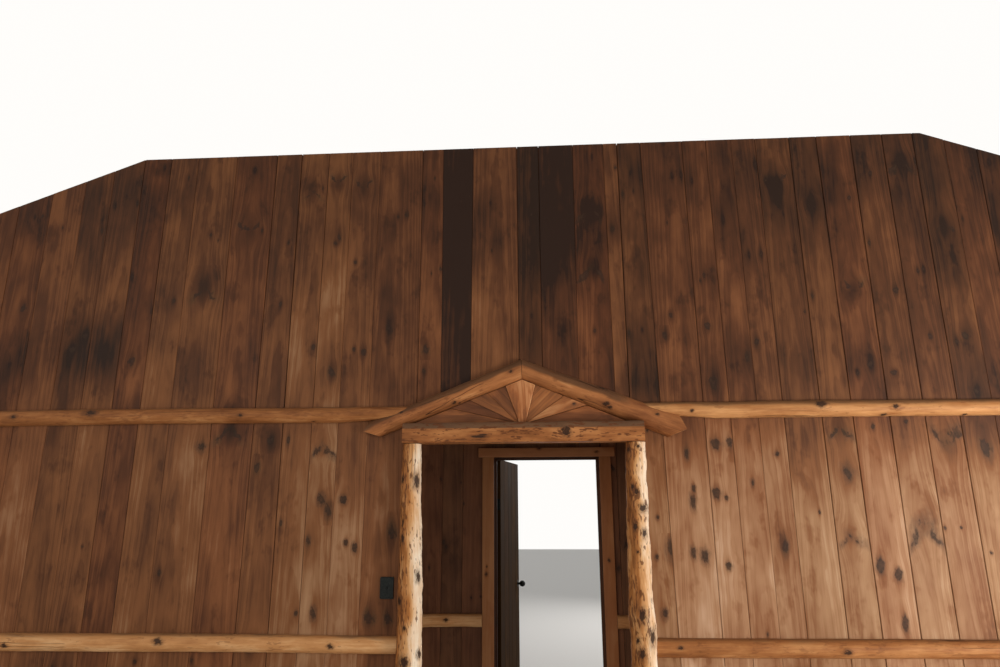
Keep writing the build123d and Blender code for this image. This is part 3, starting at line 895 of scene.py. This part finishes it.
def girth_of(node, line, stations):
    """Middle, radius and how far the middle stands out of a round log at stations along it."""
    low, high, out = np.array([section_of(node, line, station) for station in stations]).T
    radius = (high - low) / 2
    return (low + high) / 2, radius, out - radius


def circle_rows(girth, stations, places, shown, hidden):
    """Section points of a round log, eased between stations: most in front, a few on its flat."""
    front = np.linspace(-HIDDEN_WRAP, math.pi + HIDDEN_WRAP, shown)
    flat = np.linspace(math.pi + HIDDEN_WRAP, math.tau - HIDDEN_WRAP, hidden + 2)[1:-1]
    angles = np.concatenate([front, flat])
    middle, radius, depth = [np.interp(places, stations, part)[:, None] for part in girth]
    return middle + radius * np.cos(angles), np.maximum(depth + radius * np.sin(angles), 0.0)


def place_knots(knots, lateral, out, places, u):
    """Turns (along, sideways, half width, stretch) into places on the unrolled surface."""
    placed = []
    for along, sideways, size, stretch in knots:
        row = int(np.argmin(np.abs(places - along)))
        behind = np.where(out[row] > np.median(out[row]), 0, 1)
        column = int(np.argmin(np.abs(lateral[row] - sideways) + behind))
        placed.append((u[row, column], along, size, stretch))
    return placed


def knot_distance(u, v, knot):
    """How far places are from a knot, in knot sizes."""
    knot_u, knot_v, size, stretch = knot
    return np.hypot((u - knot_u) / size, (v - knot_v) / (size * stretch))


def knot_swell(u, v, placed):
    """How far the knots swell a log: a collar round each sawn stub, which is a little sunk."""
    swell = np.zeros(u.shape)
    for knot in placed:
        away = knot_distance(u, v, knot)
        collar = np.exp(-(away / 2.2) ** 2)
        stub = np.clip(1 - away, 0, 1)
        swell = np.maximum(swell, knot[2] * KNOT_SWELL * (collar - 0.4 * stub))
    return swell


def nearest_knots(u, v, placed):
    """The two nearest knots of each face, row by row."""
    choices = [*placed, FAR_KNOT, FAR_KNOT]
    middle_u = (u[:-1] + np.roll(u[:-1], -1, axis=1)) / 2
    middle_u[:, -1] = u[:-1, -1]
    middle_v = (v[:-1] + v[1:]) / 2
    away = np.stack([knot_distance(middle_u, middle_v, knot) for knot in choices])
    order = np.argsort(away, axis=0)[:2].reshape(2, -1)
    return [(choices[first], choices[second]) for first, second in order.T]


def unrolled(lateral, out):
    """Distance round the section from its first point, row by row."""
    step = np.hypot(np.diff(lateral, axis=1), np.diff(out, axis=1))
    return np.concatenate([np.zeros((len(lateral), 1)), np.cumsum(step, axis=1)], axis=1)


def off_middle(across):
    """How far places lie from the middle of their own section."""
    return across - across.mean(axis=1, keepdims=True)


def pushed_out(lateral, out, push):
    """The section points moved square to the surface, and kept off the wall."""
    turn_lateral, turn_out = [np.roll(part, -1, axis=1) - np.roll(part, 1, axis=1) for part in (lateral, out)]
    size = np.hypot(turn_lateral, turn_out) + 1e-9
    facing = np.sign(np.sum(-turn_lateral / size * off_middle(out), axis=1, keepdims=True))
    new_out = np.maximum(out - facing * turn_lateral / size * push, TINY)
    return lateral + facing * turn_out / size * push, np.where(out <= TINY, TINY, new_out)


def log_piece(node, surface, line, places, section, knots, seed, tones, lumps=LOG_LUMPS, inset=0.8,
              limits=None, planes=()):
    """A log in place of its node, from rows of section points, each its place across and how far it
    stands out. tones gives the tone and the grey of weathering and painted shade from across, out
    and along, inset is how many lumps the surface is drawn in, limits are the bounds across and out,
    and planes saw its ends."""
    origin, along, sideways = line
    lateral, out = section
    v = np.repeat(places[:, None], lateral.shape[1], axis=1)
    u = unrolled(lateral, out)
    placed = place_knots(in_metres(knots), lateral, out, places, u)

    def surface_points(across, stand):
        points = origin + v[..., None] * along + across[..., None] * sideways
        points[..., 1] -= stand
        return points.reshape(-1, 3)

    smooth = surface_points(lateral, out)
    rough = wander(smooth, LUMP_SIZE, seed) + wander(smooth, FINE_LUMP_SIZE, seed + 9) * 0.35
    push = knot_swell(u, v, placed) + (rough.reshape(u.shape) - inset) * lumps
    lateral, out = pushed_out(lateral, out, push)
    if limits:
        low_side, high_side, furthest = limits
        lateral = np.clip(lateral, low_side + TINY, high_side - TINY)
        out = np.minimum(out, furthest - TINY)
    points = surface_points(lateral, out)
    grain = np.stack([u, v, np.full(u.shape, seed * 3.1)], axis=-1).reshape(-1, 3)
    tone, weathering_and_shade = tones(lateral, out, v)
    ring = u.shape[1]
    piths = [points[:ring].mean(axis=0), points[-ring:].mean(axis=0)]
    piece = Piece()
    piece.add(points, grain, ring, tone.ravel(), nearest_knots(u, v, placed), piths, weathering_and_shade.ravel())
    settle(piece.mesh(f"{node}_log", surface, "sawn_end"), node, planes=planes)


def evenly(start, stop, spacing):
    return np.linspace(start, stop, int((stop - start) / spacing))


def wave_along(places, pace, seed, row):
    """Slow noise between about -1 and 1 at each place along a log."""
    return np.array([noise.fractal((place * pace, seed, row), 1.0, 2.0, 2) for place in places])[:, None]


# Knots on logs, in millimetres: place along, place across, half width, and how much longer than wide

POST_KNOTS = {
    "left": [
        (1790, -684, 18, 2.2), (1800, -770, 11, 1.8), (1440, -757, 12, 2.0), (1210, -661, 12, 2.3),
        (1070, -765, 13, 1.6), (920, -727, 9, 1.3), (770, -639, 12, 1.9), (730, -723, 20, 1.3),
        (420, -700, 16, 1.6), (180, -660, 13, 1.5),
    ],
    "right": [
        (1980, 680, 11, 1.5), (2000, 737, 12, 1.0), (1750, 691, 11, 1.5), (1720, 713, 14, 1.5),
        (1620, 742, 24, 1.0), (1510, 693, 14, 1.8), (1470, 743, 14, 1.9), (1360, 698, 8, 1.0),
        (1000, 704, 18, 2.1), (880, 755, 18, 2.4), (860, 675, 11, 1.4), (790, 697, 17, 1.9),
        (450, 730, 15, 1.7), (220, 680, 12, 1.4),
    ],
}
POST_INSET = -0.2
POST_LUMPS = 0.0075
POST_STATIONS = 16


def build_post(word, seed):
    node = f"door_post_{word}"
    low, high = span(node)
    line = (np.array([0.0, WALL_FRONT, 0.0]), UP, RIGHT)
    stations = np.linspace(low[2] + 0.01, high[2] - 0.01, POST_STATIONS)
    heights = evenly(low[2], high[2], LOG_ROW)
    section = circle_rows(girth_of(node, line, stations), stations, heights, shown=64, hidden=7)
    wave = wave_along(heights, 2.6, seed, 3)

    def tones(across, *_):
        # Painted light: the right half of each post, towards the light, is set paler and the left half
        # darker, partly the wood's own two tones.
        lit = np.clip((off_middle(across) - 0.012 - 0.022 * wave) / 0.034, -1, 1)
        return 0.52 + 0.29 * lit, np.zeros(across.shape)

    limits = (low[0], high[0], WALL_FRONT - low[1])
    knots = POST_KNOTS[word]
    log_piece(node, "post_log", line, heights, section, knots, seed, tones, POST_LUMPS, POST_INSET, limits)


# Rails: tone, how high up their side the grey of weathering and painted shade begins, from -1 to 1, and knots
RAILS = {
    "upper_rail_left": (0.30, 0.25, [(-2954, 2262, 20, 2.0), (-3500, 2240, 13, 1.5), (-1900, 2230, 10, 1.6)]),
    "upper_rail_right": (0.56, -0.20, [
        (1100, 2226, 8, 1.2), (2380, 2243, 11, 1.2), (2310, 2190, 10, 1.6), (1920, 2262, 17, 1.6),
        (2810, 2180, 9, 1.3), (3400, 2250, 12, 1.4),
    ]),
    "lower_rail_left": (0.72, 0.25, [(-1200, 800, 11, 1.5), (-2300, 820, 15, 1.6), (-3300, 790, 10, 1.4)]),
    # lower_rail_right is set dark, partly its own tone and partly painted shadow of a dresser that is not
    # built.
    "lower_rail_right": (0.36, 0.25, [(930, 810, 10, 1.4), (1900, 790, 14, 1.5), (3100, 820, 12, 1.5)]),
    "inner_rail_left": (0.72, 0.25, [(-620, 800, 10, 1.5)]),
    "inner_rail_right": (0.62, 0.25, [(900, 780, 10, 1.5)]),
}
RAIL_SEED = 12
RAIL_STATIONS = 12
RAIL_END_CLEAR = 0.2
POST_TUCK = 0.05


def build_rail(node, seed):
    """A half log along a wall. An outer rail's inner end runs on into the log that stops it."""
    rail_tone, weathering_and_shade_from, knots = RAILS[node]
    low, high = span(node)
    line = (np.array([0.0, high[1], 0.0]), RIGHT, UP)
    stations = np.linspace(low[0] + RAIL_END_CLEAR, high[0] - RAIL_END_CLEAR, RAIL_STATIONS)
    tuck = 0.0 if node.startswith("inner") else POST_TUCK
    places = evenly(low[0] - (tuck if low[0] > 0 else 0), high[0] + (tuck if high[0] < 0 else 0), RAIL_ROW)
    section = circle_rows(girth_of(node, line, stations), stations, places, shown=34, hidden=5)

    def tones(across, *_):
        # Painted shade: the upper side of the rail is set a little darker and greyer, partly weathering.
        above = np.clip(off_middle(across) / 0.05, -1, 1)
        return rail_tone - 0.05 * above, np.clip(above - weathering_and_shade_from, 0, 1) * 0.8

    log_piece(node, "rail_log", line, places, section, knots, seed, tones)


LINTEL_WANE_HEIGHT = 0.046
LINTEL_WANE_DEPTH = 0.026
LINTEL_CORNER = 0.009
LINTEL_BACK = 0.004
LINTEL_LUMPS = 0.0026
LINTEL_KNOTS = [(285, 2105, 25, 1.0), (-278, 2073, 7, 6.0), (-250, 2085, 4, 6.0)]


def lintel_section(wane, bottom, top, depth):
    """Heights and depths round the lintel: under, lower corner, front, waney edge, top and back."""
    drop = LINTEL_WANE_HEIGHT * wane
    setback = LINTEL_WANE_DEPTH * wane
    corner, edge = [np.linspace(0, math.pi / 2, count)[1:] for count in (5, 12)]
    heights = [
        np.full(9, bottom), bottom + LINTEL_CORNER * (1 - np.cos(corner)),
        np.linspace(bottom + LINTEL_CORNER, top - drop, 14)[1:], top - drop + drop * np.sin(edge),
        np.full(6, top), np.linspace(top, bottom, 5),
    ]
    depths = [
        np.linspace(LINTEL_BACK, depth - LINTEL_CORNER, 9), depth - LINTEL_CORNER * (1 - np.sin(corner)),
        np.full(13, depth), depth - setback * (1 - np.cos(edge)),
        np.linspace(depth - setback, LINTEL_BACK, 7)[1:], np.zeros(5),
    ]
    return np.concatenate(heights), np.concatenate(depths)


def build_lintel(seed):
    low, high = span("door_lintel")
    depth = WALL_FRONT - low[1]
    line = (np.array([0.0, WALL_FRONT, 0.0]), RIGHT, UP)
    places = evenly(low[0], high[0], LOG_ROW)
    outlines = []
    for x in places:
        wane = 1.0 + 0.22 * noise.noise((x * 3.1, 0.3, seed))
        dip = 0.004 * abs(noise.noise((x * 4.3, 7.7, seed)))
        outlines.append(lintel_section(wane, low[2] + 0.002, high[2] - 0.001 - dip, depth - 0.003))
    section = np.swapaxes(outlines, 0, 1)
    knot_x, knot_height, *_ = in_metres(LINTEL_KNOTS)[0]

    def tones(across, _, rows):
        above = np.clip((across - (high[2] - LINTEL_WANE_HEIGHT - 0.004)) / 0.012, 0, 1)
        bulge = np.exp(-((rows - knot_x - 0.05) / 0.04) ** 2 - ((across - knot_height) / 0.03) ** 2)
        return 0.36 - 0.12 * above + 0.22 * bulge * (1 - above), above * (1 - 0.5 * bulge)

    log_piece(
        "door_lintel", "lintel_log", line, places, section, LINTEL_KNOTS, seed, tones, LINTEL_LUMPS,
        limits=(low[2], high[2], depth)
    )


RAKING_KNOTS = {
    "left": [(75, 5, 9, 1.3), (500, -40, 11, 1.4), (470, -55, 7, 1.2), (850, 30, 9, 1.5)],
    "right": [(550, 62, 14, 2.0), (600, -40, 14, 1.2), (630, -52, 10, 1.2), (930, 10, 8, 1.3)],
}
RAKING_STATIONS = np.array([0.15, 0.24, 0.33, 0.90, 0.94])
RAKING_OVERRUN = (0.12, 0.10)
MITRE_CLEAR = 0.0012


def end_planes(node, side, along):
    """The flat cuts at the far end of a log, square to the wall."""
    planes = {}
    for face in frame["nodes"][node].data.polygons:
        normal = face.normal
        outward = normal.x * side > 0.2 and normal.dot(along) > 0.3
        if outward and abs(normal.y) < 0.02 and face.area > 1e-6:
            planes.setdefault((round(normal.x, 1), round(normal.z, 1)), (face.center.copy(), normal.copy()))
    return list(planes.values())


def build_raking_log(word, seed):
    """A tapered half log that leans on the wall, longer than its node until its ends are sawn."""
    node = f"pediment_log_{word}"
    side = -1 if word == "left" else 1
    low, high = span(node)
    reach = max(abs(low[0]), abs(high[0]))
    points = node_points(node)
    tops = [points[points[:, 0] * side > reach * part][:, 2].max() for part in (0.35, 0.75)]
    pitch = math.atan((tops[0] - tops[1]) / (reach * 0.4))
    by_middle = points[np.abs(points[:, 0]) < 0.02][:, 2]
    origin = np.array([0.0, WALL_FRONT, (by_middle.max() + by_middle.min()) / 2])
    along = np.array([side * math.cos(pitch), 0.0, -math.sin(pitch)])
    sideways = np.array([side * math.sin(pitch), 0.0, math.cos(pitch)])
    line = (origin, along, sideways)
    ends = (-RAKING_OVERRUN[0], reach / math.cos(pitch) + RAKING_OVERRUN[1])
    girth = girth_of(node, line, RAKING_STATIONS)
    taper = [np.polyval(np.polyfit(RAKING_STATIONS, part, 1), ends) for part in girth]
    places = evenly(*ends, LOG_ROW)
    section = circle_rows(taper, ends, places, shown=46, hidden=6)
    border = wave_along(places, 5, seed, 0)

    def tones(across, stand, rows):
        # Painted shade: the upper half of the log, turned away from the light below, is set darker and
        # greyer, partly weathering.
        above = np.clip((off_middle(across) - 0.014 - 0.020 * border) / 0.020, -1, 1)
        top_edge = np.clip(1 - (stand - 0.004) / 0.010, 0, 1) * (above > 0)
        clean = np.clip((rows - 0.55) / 0.3, 0, 1) if side > 0 else 0.0
        weathering_and_shade = (np.clip(0.5 + above * 0.45, 0, 1) - 0.7 * top_edge) * (1 - 0.8 * clean)
        return 0.52 - 0.10 * above * (1 - clean) + 0.32 * top_edge, weathering_and_shade

    planes = [(Vector((side * MITRE_CLEAR, 0, 0)), Vector((-side, 0, 0)))]
    planes += end_planes(node, side, Vector(along))
    log_piece(node, "raking_log", line, places, section, RAKING_KNOTS[word], seed, tones, planes=planes)


# The plank door, built closed and turned to where it stands

LEAF_TONES = [0.42, 0.50, 0.38, 0.47, 0.40]
LEAF_SEED = 71
LEDGE_TONE = 0.46


def build_door():
    swing = [joint for joint in frame["joints"] if joint["name"] == "door_swing"][0]
    pin = Vector(swing["pos_m"])
    close = math.radians(min(swing["range_deg"]))

    def turned(angle):
        return Matrix.Translation(pin) @ Matrix.Rotation(angle, 4, "Z") @ Matrix.Translation(-pin)

    points = np.array([turned(close) @ Vector(point) for point in node_points("door_leaf")])
    low, high = points.min(axis=0), points.max(axis=0)
    width, thickness, height = high - low
    board = width / len(LEAF_TONES)
    draw = random.Random(LEAF_SEED)
    piece = Piece()
    for number, tone in enumerate(LEAF_TONES):
        left = low[0] + number * board + (JOINT_GAP / 2 if number else 0)
        last = number == len(LEAF_TONES) - 1
        right = low[0] + (number + 1) * board - (0 if last else JOINT_GAP / 2)
        knots = random_knots(left, right, height, draw)
        seed = draw.uniform(0, LAST_SEED)
        for face, back in ((low[1], high[1]), (high[1], low[1])):
            axes = upright_axes(face, back, low[2])
            add_board(piece, (left, right) * 2, height, thickness / 2, axes, seed, tone, knots, uneven=0.2)
    leaf = piece.mesh("door_leaf_boards", "door_planks")
    opened = turned(-close)
    leaf.transform(opened)
    settle(leaf, "door_leaf", "door")
    direction = opened.to_3x3() @ Vector((1, 0, 0))
    for number, word in enumerate(("lower", "upper")):
        seed = 83.0 + 7.0 * number
        flat_board(f"door_ledge_{word}", "door_planks", direction, seed, LEDGE_TONE, 0.004, 2, "door")


def build_ironwork():
    """The nodes of the ironwork keep their shape and take the finish."""
    names = ["switch_plate", "door_knob"]
    names += [f"hinge_{part}_{word}" for part in ("jamb", "leaf") for word in ("lower", "upper")]
    for name in names:
        frame["nodes"][name].data.materials[0] = MATERIALS["iron"]


# Camera, light and stage

CAMERA_PLACE = (0.123, -4.46, 1.66)
CAMERA_PITCH = 14.10
CAMERA_YAW = -3.467
CAMERA_ROLL = -0.228
CAMERA_LENS = 24.13
SENSOR_WIDTH = 36
WORLD_DIFFUSE = 0.42
FLOOR_REACH = 20


def build_camera():
    """At eye height in the room, turned up and a little to the left."""
    data = bpy.data.cameras.new("camera")
    data.lens = CAMERA_LENS
    data.sensor_width = SENSOR_WIDTH
    data.clip_end = 100
    camera = new_object("camera", data)
    turn = Matrix()
    for degrees, axis in ((-CAMERA_YAW, "Z"), (90 + CAMERA_PITCH, "X"), (CAMERA_ROLL, "Z")):
        turn = turn @ Matrix.Rotation(math.radians(degrees), 4, axis)
    camera.matrix_world = Matrix.Translation(Vector(CAMERA_PLACE) + Vector((0, WALL_FRONT, 0))) @ turn
    bpy.context.scene.camera = camera


# Soft lamps: place, what they face, width and height, power and colour
LAMPS = {
    "key": ((5.0, -4.2, 1.1), (0.6, WALL_FRONT, 1.6), (1.8, 1.6), 210, (1.0, 0.97, 0.93)),
    "fill": ((-4.0, -6.0, 3.0), (0, WALL_FRONT, 1.8), (4, 3), 80, (1.0, 0.95, 0.88)),
    "rear": ((3.0, 5.5, 3.6), (0, WALL_BACK, 1.6), (4, 3), 150, (1.0, 0.97, 0.94)),
}


def build_lamps():
    for name, (place, target, (width, height), power, tint) in LAMPS.items():
        data = bpy.data.lights.new(name, "AREA")
        data.shape = "RECTANGLE"
        data.size = width
        data.size_y = height
        data.energy = power
        data.color = tint
        lamp = new_object(name, data)
        lamp.location = place
        lamp.rotation_euler = (Vector(target) - Vector(place)).to_track_quat("-Z", "Y").to_euler()


def build_world():
    """A plain bright surround that lights the wood less than it shows."""
    world = bpy.data.worlds.new("studio")
    bpy.context.scene.world = world
    world.use_nodes = True
    tree = world.node_tree
    direct, glossy, passed = [
        Value(tree, "LightPath", output=f"Is {kind} Ray") for kind in ("Camera", "Glossy", "Transmission")
    ]
    shown = direct.calc("MAXIMUM", glossy).calc("MAXIMUM", passed)
    level = Value(tree, "MapRange", {"Value": shown, "To Min": WORLD_DIFFUSE, "To Max": 1.0}, "Result")
    plug(tree, tree.nodes["Background"].inputs, {"Color": (1.0, 0.985, 0.96, 1), "Strength": level})


def build_stage():
    """A plain pale floor."""
    finish(new_tree("floor"), (0.78, 0.77, 0.75, 1), 0.8)
    mesh = bpy.data.meshes.new("floor")
    corners = ((-1, -1), (1, -1), (1, 1), (-1, 1))
    mesh.from_pydata([(x * FLOOR_REACH, y * FLOOR_REACH, 0) for x, y in corners], [], [(0, 1, 2, 3)])
    mesh.materials.append(MATERIALS["floor"])
    new_object("floor", mesh)


build_front_partition()
build_inner_partition()
build_ceiling()
build_trim()
build_sunburst()
build_post("left", 2)
build_post("right", 3)
build_lintel(5)
build_raking_log("left", 7)
build_raking_log("right", 8)
for rail_seed, rail_node in enumerate(RAILS, RAIL_SEED):
    build_rail(rail_node, rail_seed)
build_door()
build_ironwork()
build_camera()
build_lamps()
build_world()
build_stage()
bpy.context.scene.view_settings.view_transform = "Standard"
